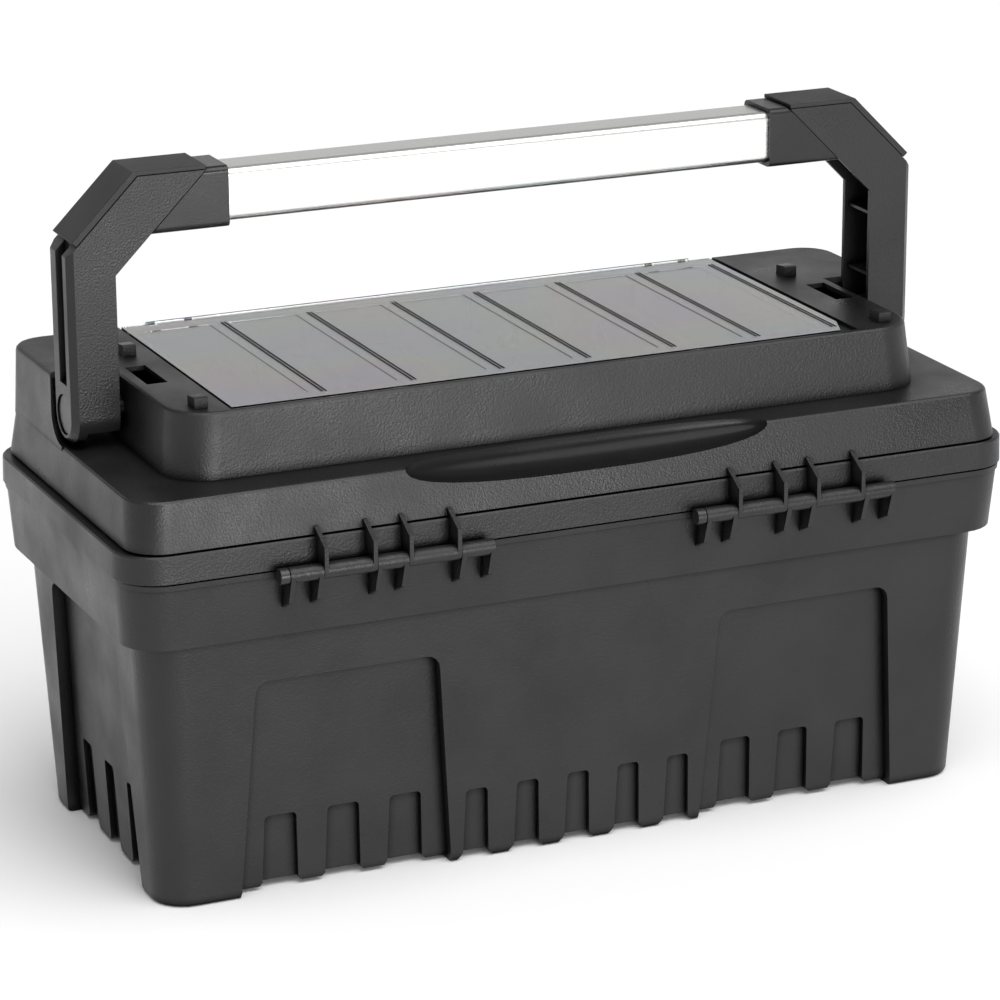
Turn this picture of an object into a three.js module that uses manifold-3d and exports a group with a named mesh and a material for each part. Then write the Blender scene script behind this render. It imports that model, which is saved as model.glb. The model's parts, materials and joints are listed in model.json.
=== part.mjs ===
// Carpenter toolbox: a moulded tub, a hinged lid with an organizer under a clear cover, and a fold-down handle.
// Millimetres, +Z up. X runs along the length, -Y is the hinge side and +Y the latch side.
// The origin is the middle of the footprint, on the surface that the tub stands on.
import * as THREE from "three";
import { mergeVertices } from "three/addons/utils/BufferGeometryUtils.js";
import Module from "manifold-3d";

const wasm = await Module();
wasm.setup();

// ---- Driving dimensions -------------------------------------------------------------------------
const LENGTH = 600; // over the lid's rim band
const DEPTH = 262.6; // over the lid's rim band
const TUB_HEIGHT = 215.4;
const LID_HEIGHT = 89.2; // from the seam to the top of the organizer block
const WALL = 3;
const GAP = 0.3; // between pieces that touch
const RUNNING = 0.3; // round a pin or a shaft that turns
const CORNER_STEPS = 7; // facets in a rounded corner
const ROUND_STEPS = 24; // facets round a shaft
const HEAD_STEPS = 32; // facets round a pivot head

// Tub
const TUB_CORNER = 27;
const DRAFT = 0.0536; // inward lean of the tub's walls, mm per mm
const COLLAR_HEIGHT = 42; // the wider band round the tub's mouth
const COLLAR_STEP = [9.2, 7.4]; // how far it stands out from the wall below, at the ends and the sides
const COLLAR_DRAFT = [0.055, 0.098];
const COLLAR_CORNER = 27;
const CORNER_TAPER = 0.029; // corners get tighter towards the foot, mm per mm
const LIP = 0.9; // bead round the very top of the collar
const TONGUE = 4; // locating rim that enters the lid
const TONGUE_WALL = 2;
const BOTTOM_ROUND = 3;
const FLOOR_RAISE = 5; // the floor's middle stands clear of the ground
const PANEL_RAISE = 2.8; // and so do the panels' lower edges
const FOOT_FLARE = 4; // slope at the side of each pad that the tub stands on
const FOOT_WIDTH = 22; // the flat rim that the tub stands on

// Pressed-in panels and slots of the tub's long sides and ends
const PANEL_DEPTH = 8;
const PANEL_TOP = 142;
const PANEL_TOP_WIDTH = 121;
const PANEL_FOOT_WIDTH = 140;
const PANEL_ROUND = 9;
const PANEL_CENTRE = 156;
const SLOT_DEPTH = 4;
const PANEL_SLOT_TOP = 49;
const PANEL_SLOT_WIDTH = 22;
const PANEL_SLOT_PITCH = 41.4;
const MIDDLE_SLOT_TOP = 48;
const MIDDLE_SLOT_WIDTH = 14.8;
const MIDDLE_SLOT_PITCH = 34.8;
const END_PANEL_TOP = 163;
const END_PANEL_TOP_WIDTH = 122;
const END_PANEL_FOOT_WIDTH = 144;
const END_SLOT_TOP = 58;
const END_SLOT_WIDTH = 17;
const END_SLOT_PITCH = 42;

// Lid
const BAND_HEIGHT = 17.7; // the lid's rim band, above the seam
const BAND_CORNER = 29;
const GROOVE = 1.2; // dark line between band and body
const BODY_SIDE_STEP = 6.5; // body set in from the band at the ends
const BODY_FACE_STEP = 2.3; // and along the long sides
const LEDGE_ABOVE_SEAM = 48.8; // low shelf in front of and beside the organizer block
const BODY_LEAN = [0.09, 0.204]; // inward lean of the body below the ledge, at the ends and the sides
const BODY_CORNER = 23;
const REAR_LEAN = [0.035, 0.042]; // lean of the raised part that runs the full length
const EDGE_ROUND = 3; // softened top edges
const BLOCK_END = 254.7; // organizer block, half length at the ledge
const BLOCK_FRONT = -94.2; // its face on the hinge side, at the ledge
const BLOCK_LEAN = 0.1;
const BLOCK_CORNER = 28;
const STEP_CLEARANCE = 4; // between the handle's arms and the raised part behind them

// Organizer under the clear cover, set a little to one side of the block
const ORGANIZER_SHIFT = -2.4;
const COVER_LENGTH = 418;
const COVER_DEPTH = 200;
const COVER_FRONT = -84;
const COVER_THICKNESS = 2.4;
const COVER_PROUD = 0.4;
const COVER_SIDE_SHIFT = -3.1; // the cover against the organizer's middle
const REBATE_LEFT_GAP = 1.5;
const REBATE_RIGHT_GAP = 4.5;
const REBATE_FRONT_GAP = 1.8;
const TRAY_MARGIN = 5; // support round the tray's mouth
const TRAY_BACK_MARGIN = 10;
const TRAY_DEPTH = 27.4;
const DIVIDERS = 6;
const LAST_COMPARTMENT = 53.2; // the narrower one on the right
const DIVIDER_THICKNESS = 2;
const DIVIDER_SLOT = 1.5; // depth of the grooves that hold the dividers
const COVER_ROD = 1.9; // radius of the cover's hinge rod
const COVER_ROD_INSET = 16; // from the cover's ends to the rod's
const COVER_BARREL_INSET = 53; // the middle of the rod is joined to the plate
const CLIP_WIDTH = 5;
const PANE_DEPTH = 0.4; // panes sunk into the cover, one over each compartment
const PANE_MARGIN = [3.6, 9.5, 12, 17]; // left, right, front and back of a pane
const RIB_GROOVE = [1.7, 1.2]; // width and depth of the pair of grooves over each divider
const FINGER_CUT = [7.4, 19.4]; // lifting corner of the cover
const CATCH_SPREAD = 100.5;
const CATCH_WIDTH = 9;

// Stubs and sockets on top of the block
const STUB = [8.5, 12.5, 6.8];
const STUB_X = 231.5;
const STUB_Y = [-71.5, 57];
const WELL = [13.4, 42];
const WELL_X = 236.8;
const WELL_Y = 6;

// Finger scoop in the middle of the ledge, under the folded handle
const SCOOP = [122, 23, 15];
const SCOOP_X = 3;

// Lid hinges
const HINGE_OUT = 8.7; // hinge line beyond the rim
const HINGE_BELOW_SEAM = 0.8;
const HINGE_PITCH = 275;
const HINGE_SHIFT = 1.3;
const KNUCKLE = 5; // radius
const HINGE_PIN = 2.2; // radius
const PIN_HEAD = 6; // length
const TUB_KNUCKLES = [21, 20, 22];
const LID_KNUCKLES = [34, 34];
const FIN = 2.6; // thickness of the lid's hinge fins
const GUSSET = 3; // thickness of the tub's webs under the knuckles

// Latches
const LATCH_X = 137.5;
const LATCH_WIDTH = 64;
const LATCH_DROP = 48;
const LATCH_PLATE = 4;
const LATCH_KNUCKLE = 4.5;
const LATCH_PIN = 2;
const LATCH_OUT = 7.2;
const LATCH_ABOVE_SEAM = 10.3;
const EAR = 6;
const KEEPER_BELOW = 34; // keeper's lower face under the latch pin
const KEEPER = [4, 4.5]; // height, reach from the latch line
const HOOK = 6;

// Handle
const ARM_INNER = 258.2;
const ARM_OUTER = 288.5;
const ARM_DEPTH = 37;
const PIVOT_Y = 11.5;
const ARM_ABOVE_LEDGE = 1.5; // from the ledge to the arm's round foot
const ARM_BEND = 88; // inner corner above the pivot
const ARM_OUTER_BEND = 101.5; // outer corner above the pivot
const ARM_TOP = 147.5; // above the pivot
const ARM_WALL = 3;
const ARM_BACK = 10; // thickness of the arm's outer side, which the groove enters
const ARM_GROOVE = [7, 12.5]; // depth, width
const ARM_GROOVE_START = 20; // above the pivot
const ARM_CHAMFER = 4;
const ARM_RIBS = [30.4, 71.8]; // above the pivot
const PAD_THICKNESS = [2.7, 4]; // on the top and on the slope
const PAD_FOOT = 6.2; // from the arm's outer corner to the pad's lower end
const FERRULE_TOP = 148.5; // above the pivot
const FERRULE_END = 184.3;
const FERRULE_HEIGHT = 38;
const FERRULE_ROUND = 4;
const BAR_DEPTH = 31;
const BAR_HEIGHT = 33;
const BAR_ROUND = 5;
const BAR_WALL = 2;
const BAR_GRIP = 12; // length inside each ferrule
const PLUG = 30; // length of the ferrule's plug inside the bar
const PIVOT_SHAFT = 8; // radius
const PIVOT_HEAD = 12.2; // radius
const PIVOT_HEAD_THICKNESS = 3;
const PIVOT_RECESS = 1.1;
const BOSS = 13.5; // radius of the arm's pivot boss

// ---- Places worked out from them ----------------------------------------------------------------
const seam = TUB_HEIGHT + GAP;
const bandTop = seam + BAND_HEIGHT;
const ledge = seam + LEDGE_ABOVE_SEAM;
const top = seam + LID_HEIGHT;
const halfLength = LENGTH / 2;
const halfDepth = DEPTH / 2;
const hingeY = -(halfDepth + HINGE_OUT);
const hingeZ = seam - HINGE_BELOW_SEAM;
const pivotZ = ledge + ARM_ABOVE_LEDGE + ARM_DEPTH / 2;
const stepY = PIVOT_Y + ARM_DEPTH / 2 + STEP_CLEARANCE;
const coverLeft = ORGANIZER_SHIFT + COVER_SIDE_SHIFT - COVER_LENGTH / 2;
const coverRight = coverLeft + COVER_LENGTH;
const coverRodHalf = COVER_LENGTH / 2 - COVER_ROD_INSET;
const coverBarrelHalf = COVER_LENGTH / 2 - COVER_BARREL_INSET;
const coverBack = COVER_FRONT + COVER_DEPTH;
const coverTop = top + COVER_PROUD;
const coverFloor = coverTop - COVER_THICKNESS;
const trayTop = coverFloor - GAP;
const coverHingeY = coverBack + COVER_ROD - 0.7;
const coverHingeZ = trayTop + COVER_ROD + 0.1;

// ---- Solids -------------------------------------------------------------------------------------
function solid(geometry) {
  geometry.deleteAttribute("normal");
  geometry.deleteAttribute("uv");
  const merged = mergeVertices(geometry, 1e-4);
  return new wasm.Manifold(
    new wasm.Mesh({
      numProp: 3,
      vertProperties: merged.attributes.position.array,
      triVerts: new Uint32Array(merged.index.array),
    }),
  );
}

function union(...parts) {
  return parts.flat().reduce((sum, part) => sum.add(part));
}

function box(x0, x1, y0, y1, z0, z1) {
  const geometry = new THREE.BoxGeometry(x1 - x0, y1 - y0, z1 - z0);
  geometry.translate((x0 + x1) / 2, (y0 + y1) / 2, (z0 + z1) / 2);
  return solid(geometry);
}

function extrude(points, length, u, v, w, origin) {
  const shape = new THREE.Shape(points.map(([a, b]) => new THREE.Vector2(a, b)));
  const geometry = new THREE.ExtrudeGeometry(shape, { depth: length, bevelEnabled: false });
  geometry.applyMatrix4(new THREE.Matrix4().makeBasis(u, v, w).setPosition(origin));
  return solid(geometry);
}

const X = new THREE.Vector3(1, 0, 0);
const Y = new THREE.Vector3(0, 1, 0);
const Z = new THREE.Vector3(0, 0, 1);

// A (y, z) outline carried along X from x0 to x1.
function prismX(points, x0, x1) {
  return extrude(points, x1 - x0, Y, Z, X, new THREE.Vector3(x0, 0, 0));
}

// An (x, z) outline carried along Y from y0 to y1.
function prismY(points, y0, y1) {
  return extrude(points, y1 - y0, X, Z, Y.clone().negate(), new THREE.Vector3(0, y1, 0));
}

function rodX(radius, x0, x1, y, z, steps = ROUND_STEPS) {
  return coneX(radius, radius, x0, x1, steps).translate([0, y, z]);
}

// A cone along X whose radius goes from one value at x0 to another at x1.
function coneX(radius0, radius1, x0, x1, steps) {
  const geometry = new THREE.CylinderGeometry(radius0, radius1, x1 - x0, steps);
  geometry.rotateZ(Math.PI / 2);
  geometry.translate((x0 + x1) / 2, 0, 0);
  return solid(geometry);
}

// An ellipsoid with fuller ends, as a finger scoop has.
function scoopBody([a, b, c], x, y, z) {
  const fullness = 2.5;
  const geometry = new THREE.SphereGeometry(1, 40, 20);
  geometry.rotateZ(Math.PI / 2);
  const place = geometry.attributes.position;
  for (let i = 0; i < place.count; i++) {
    const point = new THREE.Vector3().fromBufferAttribute(place, i);
    const sum = point.toArray().reduce((total, value) => total + Math.abs(value) ** fullness, 0);
    point.divideScalar(sum ** (1 / fullness));
    place.setXYZ(i, point.x, point.y, point.z);
  }
  geometry.scale(a, b, c);
  geometry.translate(x, y, z);
  return solid(geometry);
}

// Corner points of an arc, both ends included.
function arc(centreU, centreV, radius, from, to, steps = CORNER_STEPS) {
  return Array.from({ length: steps + 1 }, (_, i) => {
    const angle = from + ((to - from) * i) / steps;
    return [centreU + radius * Math.cos(angle), centreV + radius * Math.sin(angle)];
  });
}

// Anticlockwise outline of a rectangle with rounded corners.
function ring(halfX, halfY, radius, centreY = 0) {
  const quarter = Math.PI / 2;
  return [[1, 1], [-1, 1], [-1, -1], [1, -1]].flatMap(([sx, sy], i) =>
    arc(sx * (halfX - radius), centreY + sy * (halfY - radius), radius, i * quarter, (i + 1) * quarter),
  );
}

// A closed body through rounded rectangles at rising heights, each [z, halfX, halfY, radius, centreY].
function loft(levels) {
  const rings = levels.map(([, ...shape]) => ring(...shape));
  const count = rings[0].length;
  const positions = rings.flatMap((points, i) => points.flatMap(([x, y]) => [x, y, levels[i][0]]));
  const index = [];
  for (let level = 0; level + 1 < levels.length; level++) {
    for (let i = 0; i < count; i++) {
      const a = level * count + i;
      const b = level * count + ((i + 1) % count);
      index.push(a, b, b + count, a, b + count, a + count);
    }
  }
  const last = (levels.length - 1) * count;
  for (let i = 1; i + 1 < count; i++) {
    index.push(0, i + 1, i, last, last + i, last + i + 1);
  }
  const geometry = new THREE.BufferGeometry();
  geometry.setAttribute("position", new THREE.Float32BufferAttribute(positions, 3));
  geometry.setIndex(index);
  return solid(geometry);
}

// ---- Materials ----------------------------------------------------------------------------------
function material(color, roughness, metalness = 0, opacity = 1) {
  return new THREE.MeshStandardMaterial({ color, roughness, metalness, opacity, transparent: opacity < 1 });
}

const bodyBlack = () => material(0x2b2b2d, 0.55);
const padBlack = () => material(0x222224, 0.65);
const ferruleBlack = () => material(0x1e1e20, 0.35);
const pinBlack = () => material(0x262628, 0.45);
const barAluminium = () => material(0xd9dadc, 0.28, 1);
const coverClear = () => material(0xb9bac2, 0.12, 0, 0.45);

function mesh(name, body, finish) {
  const { numProp, vertProperties, triVerts } = body.getMesh();
  const positions = new Float32Array((vertProperties.length / numProp) * 3);
  for (let i = 0; i < positions.length / 3; i++) {
    positions.set(vertProperties.subarray(i * numProp, i * numProp + 3), i * 3);
  }
  const geometry = new THREE.BufferGeometry();
  geometry.setAttribute("position", new THREE.BufferAttribute(positions, 3));
  geometry.setIndex(new THREE.BufferAttribute(triVerts, 1));
  geometry.computeVertexNormals();
  const part = new THREE.Mesh(geometry, finish);
  part.name = name;
  return part;
}

// ---- Tub ----------------------------------------------------------------------------------------
const collarFoot = TUB_HEIGHT - COLLAR_HEIGHT;
const collarHalf = [
  halfLength - 2.4 - COLLAR_DRAFT[0] * COLLAR_HEIGHT,
  halfDepth - 1 - COLLAR_DRAFT[1] * COLLAR_HEIGHT,
];
const lipStart = TUB_HEIGHT - 3.4;

// Half sizes and corner radius of the tub's outer wall at a height under the collar.
function tubWall(z) {
  const drop = collarFoot - z;
  const lean = DRAFT * drop;
  const corner = TUB_CORNER - CORNER_TAPER * drop;
  return [collarHalf[0] - COLLAR_STEP[0] - lean, collarHalf[1] - COLLAR_STEP[1] - lean, corner];
}

function collarWall(z) {
  const rise = z - collarFoot;
  return [collarHalf[0] + COLLAR_DRAFT[0] * rise, collarHalf[1] + COLLAR_DRAFT[1] * rise, COLLAR_CORNER];
}

const inset = ([x, y, radius], by) => [x - by, y - by, radius - by];

// Outline of a panel or slot: wider at the foot, rounded at the top, and open below the floor.
function pressedOutline(centre, footWidth, topWidth, height, round) {
  const below = -1;
  return [
    [centre - footWidth / 2, below],
    [centre + footWidth / 2, below],
    ...arc(centre + topWidth / 2 - round, height - round, round, 0, Math.PI / 2, 4),
    ...arc(centre - topWidth / 2 + round, height - round, round, Math.PI / 2, Math.PI, 4),
  ];
}

// Pressed areas of a wall, as [outline, depth], along the long side and along the end.
function sidePressings() {
  const list = [];
  for (const side of [-1, 1]) {
    const centre = side * PANEL_CENTRE;
    const panel = pressedOutline(centre, PANEL_FOOT_WIDTH, PANEL_TOP_WIDTH, PANEL_TOP, PANEL_ROUND);
    list.push([panel, PANEL_DEPTH]);
    for (const place of [-1, 0, 1]) {
      const x = centre + place * PANEL_SLOT_PITCH;
      const width = PANEL_SLOT_WIDTH;
      list.push([pressedOutline(x, width + 2, width - 1, PANEL_SLOT_TOP, 3), PANEL_DEPTH + SLOT_DEPTH]);
    }
  }
  for (const place of [-2, -1, 0, 1, 2]) {
    const width = MIDDLE_SLOT_WIDTH;
    const slot = pressedOutline(place * MIDDLE_SLOT_PITCH, width + 3, width, MIDDLE_SLOT_TOP, 3);
    list.push([slot, SLOT_DEPTH]);
  }
  return list;
}

function endPressings() {
  const panel = pressedOutline(0, END_PANEL_FOOT_WIDTH, END_PANEL_TOP_WIDTH, END_PANEL_TOP, PANEL_ROUND);
  const slots = [-1, 0, 1].map((place) => {
    const centre = place * END_SLOT_PITCH;
    return [pressedOutline(centre, END_SLOT_WIDTH + 2, END_SLOT_WIDTH, END_SLOT_TOP, 3), PANEL_DEPTH + SLOT_DEPTH];
  });
  return [[panel, PANEL_DEPTH], ...slots];
}

// A wall's plane leans with the draft, so each pressing is a slab tilted with it.
function tiltedSlab(outline, depth, footHalf, grow) {
  const reach = 40;
  const slab = prismY(outline, -reach, depth + grow);
  return slab.rotate([THREE.MathUtils.radToDeg(Math.atan(DRAFT)), 0, 0]).translate([0, -footHalf, 0]);
}

function pressings(grow) {
  const [footX, footY] = tubWall(0);
  const wider = ([outline, depth]) => [growOutline(outline, grow), depth];
  const long = sidePressings().map(wider);
  const short = endPressings().map(wider);
  const pieces = [];
  for (const [outline, depth] of long) {
    const slab = tiltedSlab(outline, depth, footY, grow);
    pieces.push(slab, slab.rotate([0, 0, 180]));
  }
  for (const [outline, depth] of short) {
    const slab = tiltedSlab(outline, depth, footX, grow);
    pieces.push(slab.rotate([0, 0, 90]), slab.rotate([0, 0, -90]));
  }
  return union(pieces);
}

// Moves an outline's sides and top outwards.
function growOutline(outline, by) {
  const middle = outline.reduce((sum, [x]) => sum + x, 0) / outline.length;
  const high = Math.max(...outline.map(([, z]) => z));
  return outline.map(([x, z]) => [x + Math.sign(x - middle) * by, z > high / 2 ? z + by : z]);
}

// Low cuts under the panels and slots, so that the tub stands on the pads between them.
function footCuts() {
  const [footX, footY] = tubWall(0);
  const cuts = (list, half) =>
    list.map(([outline, depth]) => {
      const [[from], [to]] = outline;
      const isPanel = to - from > 2 * PANEL_SLOT_WIDTH;
      const raise = isPanel ? PANEL_RAISE : FLOOR_RAISE;
      const flare = isPanel ? 0 : FOOT_FLARE;
      const low = [from - flare - flare / raise, -1];
      const profile = [low, [to + flare + flare / raise, -1], [to, raise], [from, raise]];
      return prismY(profile, -half - 1, -half + FOOT_WIDTH + (isPanel ? 1 : depth - PANEL_DEPTH));
    });
  const long = union(cuts(sidePressings(), footY));
  const short = union(cuts(endPressings(), footX)).rotate([0, 0, 90]);
  return union(long, long.rotate([0, 0, 180]), short, short.rotate([0, 0, 180]));
}

function tubShell() {
  const foot = tubWall(0);
  const outer = loft([
    [0, ...inset(foot, BOTTOM_ROUND)],
    [BOTTOM_ROUND * 0.29, ...inset(foot, BOTTOM_ROUND * 0.29)],
    [BOTTOM_ROUND, ...tubWall(BOTTOM_ROUND)],
    [collarFoot, ...tubWall(collarFoot)],
    [collarFoot, ...collarWall(collarFoot)],
    [lipStart, ...collarWall(lipStart)],
    [lipStart, ...inset(collarWall(lipStart), -LIP)],
    [TUB_HEIGHT, ...inset(collarWall(TUB_HEIGHT), -LIP)],
    [TUB_HEIGHT, ...inset([halfLength, halfDepth, BAND_CORNER], WALL + 0.8 + GAP + 0.2)],
    [TUB_HEIGHT + TONGUE, ...inset([halfLength, halfDepth, BAND_CORNER], WALL + 1 + GAP + 0.2)],
  ]);
  const floor = FLOOR_RAISE + WALL;
  const shelf = collarFoot + WALL;
  const tongueInside = inset([halfLength, halfDepth, BAND_CORNER], WALL + 1 + GAP + TONGUE_WALL);
  const inner = loft([
    [floor, ...inset(tubWall(floor), WALL + 2)],
    [floor + 2, ...inset(tubWall(floor + 2), WALL)],
    [shelf - WALL, ...inset(tubWall(shelf - WALL), WALL)],
    [shelf, ...inset(collarWall(shelf), WALL)],
    [TUB_HEIGHT - TONGUE, ...inset(collarWall(TUB_HEIGHT - TONGUE), WALL)],
    [TUB_HEIGHT - TONGUE / 2, ...tongueInside],
    [TUB_HEIGHT + TONGUE + 1, ...tongueInside],
  ]);
  const hollowUnderFloor = loft([
    [-1, ...inset(foot, FOOT_WIDTH)],
    [FLOOR_RAISE, ...inset(foot, FOOT_WIDTH)],
  ]);
  const outside = outer.subtract(pressings(0));
  const inside = inner.subtract(pressings(WALL));
  return outside.subtract(inside).subtract(hollowUnderFloor).subtract(footCuts());
}

// ---- Lid hinges ---------------------------------------------------------------------------------
// Where each knuckle starts and ends along the hinge, from its pin head's inner face.
function knuckleSpans() {
  const spans = { tub: [], lid: [] };
  let x = 0;
  for (let i = 0; i < TUB_KNUCKLES.length; i++) {
    spans.tub.push([x, x + TUB_KNUCKLES[i]]);
    x += TUB_KNUCKLES[i] + GAP;
    if (i < LID_KNUCKLES.length) {
      spans.lid.push([x, x + LID_KNUCKLES[i]]);
      x += LID_KNUCKLES[i] + GAP;
    }
  }
  spans.length = x - GAP;
  return spans;
}

const knuckles = knuckleSpans();
const hingeStarts = [-1, 1].map((side) => HINGE_SHIFT + (side * HINGE_PITCH) / 2 - knuckles.length / 2);

function tubHinge(start) {
  const wallY = halfDepth - 1 - WALL;
  const web = [
    [hingeY + KNUCKLE, hingeZ + 0.4],
    [-wallY, hingeZ - 2],
    [-wallY, hingeZ - 24],
    [-wallY - 2.5, hingeZ - 22],
    [hingeY + 0.3, hingeZ - 17.5],
    [hingeY - KNUCKLE + 0.3, hingeZ - 2.5],
    [hingeY - KNUCKLE + 0.3, hingeZ],
  ];
  const pieces = knuckles.tub.flatMap(([from, to]) => [
    rodX(KNUCKLE, start + from, start + to, hingeY, hingeZ),
    prismX(web, start + from, start + from + GUSSET),
    prismX(web, start + to - GUSSET, start + to),
  ]);
  return union(pieces);
}

function lidHinge(start) {
  const fin = [
    [hingeY + HINGE_OUT + 1.5, hingeZ + 1.2],
    [hingeY + HINGE_OUT + 4.3, hingeZ + 24.2],
    [hingeY + HINGE_OUT + 2.5, hingeZ + 24.6],
    [hingeY - KNUCKLE, hingeZ + 15.4],
    [hingeY - KNUCKLE, hingeZ],
    [hingeY - 3.5, hingeZ - 3.5],
    [hingeY, hingeZ - KNUCKLE + 0.1],
    [hingeY + 3.5, hingeZ - 3.5],
    [hingeY + 6.5, hingeZ + 1.2],
  ];
  const pieces = knuckles.lid.flatMap(([from, to]) => [
    rodX(KNUCKLE, start + from, start + to, hingeY, hingeZ),
    prismX(fin, start + from, start + from + FIN),
    prismX(fin, start + to - FIN, start + to),
  ]);
  return union(pieces);
}

function hingeBore(start) {
  return rodX(HINGE_PIN + RUNNING, start - 1, start + knuckles.length + 1, hingeY, hingeZ);
}

function makeTub() {
  const latchLine = halfDepth + LATCH_OUT;
  const keeperTop = seam + LATCH_ABOVE_SEAM - KEEPER_BELOW + KEEPER[0];
  const keepers = [-1, 1].map((side) =>
    box(
      side * LATCH_X - LATCH_WIDTH / 2 + 6,
      side * LATCH_X + LATCH_WIDTH / 2 - 6,
      collarHalf[1],
      latchLine - KEEPER[1],
      keeperTop - KEEPER[0],
      keeperTop,
    ),
  );
  const body = union(tubShell(), hingeStarts.map(tubHinge), keepers);
  return hingeStarts.reduce((part, start) => part.subtract(hingeBore(start)), body);
}

// ---- Lid ----------------------------------------------------------------------------------------
const bodyHalf = [halfLength - BODY_SIDE_STEP, halfDepth - BODY_FACE_STEP, BAND_CORNER - 3];

function bodyWall(z) {
  const rise = z - bandTop;
  return [bodyHalf[0] - BODY_LEAN[0] * rise, bodyHalf[1] - BODY_LEAN[1] * rise, BODY_CORNER];
}

function rearWall(z) {
  const [x, y] = bodyWall(ledge);
  const rise = z - ledge;
  return [x - REAR_LEAN[0] * rise, y - REAR_LEAN[1] * rise, BODY_CORNER - 1];
}

function blockWall(z) {
  const lean = BLOCK_LEAN * (z - ledge);
  const back = halfDepth - 30;
  const front = BLOCK_FRONT + lean;
  return [BLOCK_END - lean, (back - front) / 2, BLOCK_CORNER, (back + front) / 2];
}

// Outline of the raised part behind the arms: a wall, and a hollow curve round the arm's foot.
function rearOutline(grow) {
  const radius = ARM_DEPTH / 2 + STEP_CLEARANCE - 2 + grow;
  const wallY = stepY - 2 + grow;
  const far = halfDepth + 5;
  return [
    ...arc(wallY - radius, ledge - 0.2 - grow + radius, radius, -Math.PI / 2, 0),
    [wallY + 1.6, top - EDGE_ROUND - grow],
    [wallY + 1.6 + EDGE_ROUND, top - grow],
    [far, top - grow],
    [far, ledge - 4 - grow],
    [wallY - radius, ledge - 4 - grow],
  ];
}

// Levels of a loft that round off a wall's top edge in a quarter circle.
function crown(wall, z) {
  return [0, 1, 2, 3].map((step) => {
    const angle = (step * Math.PI) / 6;
    const [halfX, halfY, radius, ...centre] = wall(z);
    const by = EDGE_ROUND * (1 - Math.cos(angle));
    const height = z - EDGE_ROUND + EDGE_ROUND * Math.sin(angle);
    return [height, halfX - by, halfY - by, radius - by, ...centre];
  });
}

function lidOutside() {
  const low = ledge - EDGE_ROUND;
  const skirt = loft([
    [seam, ...inset([halfLength, halfDepth, BAND_CORNER], 0.8)],
    [seam + 0.8, halfLength, halfDepth, BAND_CORNER],
    [bandTop - 1, ...inset([halfLength, halfDepth, BAND_CORNER], 0.4)],
    [bandTop, ...inset([halfLength, halfDepth, BAND_CORNER], 1.4)],
    [bandTop, ...inset(bodyHalf, GROOVE)],
    [bandTop + GROOVE, ...bodyWall(bandTop + GROOVE)],
    ...crown(bodyWall, ledge),
  ]);
  const rear = loft([
    [low, ...bodyWall(low)],
    [ledge, ...rearWall(ledge)],
    ...crown(rearWall, top),
  ]);
  const raised = rear.intersect(prismX(rearOutline(0), -halfLength, halfLength));
  return union(skirt, raised, blockLoft(0, low));
}

function blockLoft(grow, from) {
  const shrink = ([z, x, y, radius, centre]) => [z - grow, x - grow, y - grow, radius - grow, centre];
  return loft([[from, ...blockWall(ledge)], ...crown(blockWall, top)].map(shrink));
}

const trayLeft = coverLeft + TRAY_MARGIN;
const trayRight = coverRight - TRAY_MARGIN - 2;
const trayFront = COVER_FRONT + TRAY_MARGIN;
const trayBack = coverBack - TRAY_BACK_MARGIN;
const trayFloor = trayTop - TRAY_DEPTH;

// Space under the lid. It stops below the organizer tray and keeps a wall round the finger scoop.
function lidInside() {
  const bandInside = inset([halfLength, halfDepth, BAND_CORNER], WALL + 0.8);
  const skirt = loft([
    [seam - 1, ...bandInside],
    [bandTop - 3 * WALL, ...bandInside],
    [bandTop - WALL, ...inset(bodyHalf, GROOVE + WALL)],
    [ledge - WALL, ...inset(bodyWall(ledge - WALL), WALL)],
  ]);
  const rear = loft([
    [ledge - WALL - 2, ...inset(rearWall(ledge), WALL)],
    [top - WALL, ...inset(rearWall(top), WALL)],
  ]);
  const raised = rear.intersect(prismX(rearOutline(WALL), -halfLength, halfLength));
  const tray = box(trayLeft - WALL, trayRight + WALL, -halfDepth, halfDepth, trayFloor - WALL, top + 1);
  const scoop = scoopBody(SCOOP.map((size) => size + WALL), SCOOP_X, scoopY, ledge);
  return union(skirt, raised, blockLoft(WALL, ledge - 1)).subtract(tray).subtract(scoop);
}

const scoopY = -bodyWall(ledge)[1] - 1;

// Mouth of the organizer: tray, the cover's rebate and the grooves for the dividers.
function organizerCuts() {
  const rebate = box(
    coverLeft - REBATE_LEFT_GAP,
    coverRight + REBATE_RIGHT_GAP,
    COVER_FRONT - REBATE_FRONT_GAP,
    halfDepth,
    trayTop,
    top + 1,
  );
  const tray = box(trayLeft, trayRight, trayFront, trayBack, trayFloor, top + 1);
  const grooves = dividerPlaces().map((x) => {
    const half = DIVIDER_THICKNESS / 2 + GAP;
    return box(x - half, x + half, trayFront - DIVIDER_SLOT, trayBack + DIVIDER_SLOT, trayFloor, top + 1);
  });
  return union(rebate, tray, grooves);
}

function dividerPlaces() {
  const pitch = (trayRight - trayLeft - LAST_COMPARTMENT) / DIVIDERS;
  return Array.from({ length: DIVIDERS }, (_, i) => trayLeft - DIVIDER_THICKNESS / 2 + (i + 1) * pitch);
}

// Clips along the rear of the rebate that hold the cover's hinge rods.
const coverMiddle = (coverLeft + coverRight) / 2 + 1;
const clipPlaces = [-1, 1].flatMap((side) =>
  [coverBarrelHalf + 8, coverRodHalf - 4].map((along) => coverMiddle + side * along),
);

function coverClips() {
  return clipPlaces.map((x) =>
    box(
      x - CLIP_WIDTH / 2,
      x + CLIP_WIDTH / 2,
      coverHingeY - COVER_ROD - 1.4,
      coverHingeY + COVER_ROD + 1.4,
      trayTop - 2,
      coverHingeZ + 0.4,
    ),
  );
}

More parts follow.
